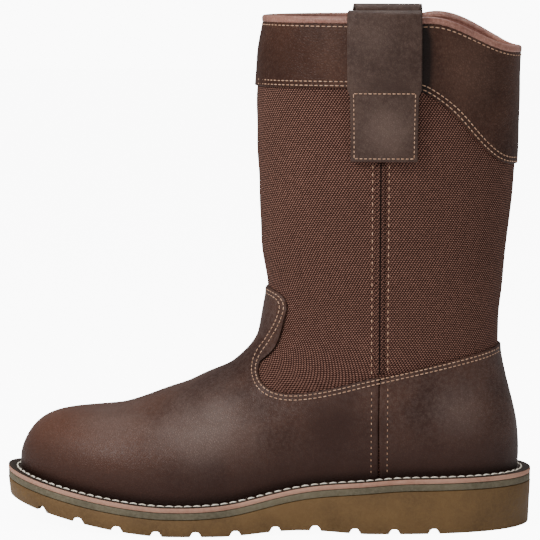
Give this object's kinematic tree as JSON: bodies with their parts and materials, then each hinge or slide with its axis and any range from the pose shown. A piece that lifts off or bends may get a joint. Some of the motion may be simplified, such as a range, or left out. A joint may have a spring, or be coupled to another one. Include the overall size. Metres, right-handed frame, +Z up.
{
  "type": "wedge sole work boot",
  "caption": "Pull-on work boot: hollow cloth shaft with leather vamp, quarter and collar, pull straps, sewn welt and notched wedge outsole.",
  "frame": {"origin": "on the floor, under the middle of the flat tread of the heel", "axes": "+Z up, toe towards -X, heel towards +X, outer side of the foot towards -Y"},
  "size_m": [0.3139, 0.1189, 0.3075],
  "materials": {
    "oiled_leather": "dark brown oiled pull-up leather, soft scuffs, satin",
    "grained_leather": "dark brown leather with a pebbled grain, satin",
    "strap_leather": "smooth grey-brown strap leather, satin",
    "binding_leather": "pinkish brown binding, satin",
    "woven_cloth": "coarse reddish brown woven nylon, matt",
    "seam_cloth": "the same cloth folded into a raised seam, matt",
    "welt_leather": "natural tan welt, dark on top, with bold off-white stitches",
    "midsole_rubber": "grey-green rubber layer, matt",
    "outsole_rubber": "olive brown wedge rubber, matt",
    "footbed": "plain fabric footbed, matt"
  },
  "bodies": {
    "root": {"outsole": "outsole_rubber", "midsole": "midsole_rubber", "welt": "welt_leather", "insole": "footbed", "upper": "woven_cloth", "vamp": "oiled_leather", "quarter": "oiled_leather", "collar": "grained_leather", "piping": "binding_leather", "pull_strap_outer": "strap_leather", "pull_strap_inner": "strap_leather", "side_seam_outer": "seam_cloth", "side_seam_inner": "seam_cloth"}
  },
  "joints": []
}
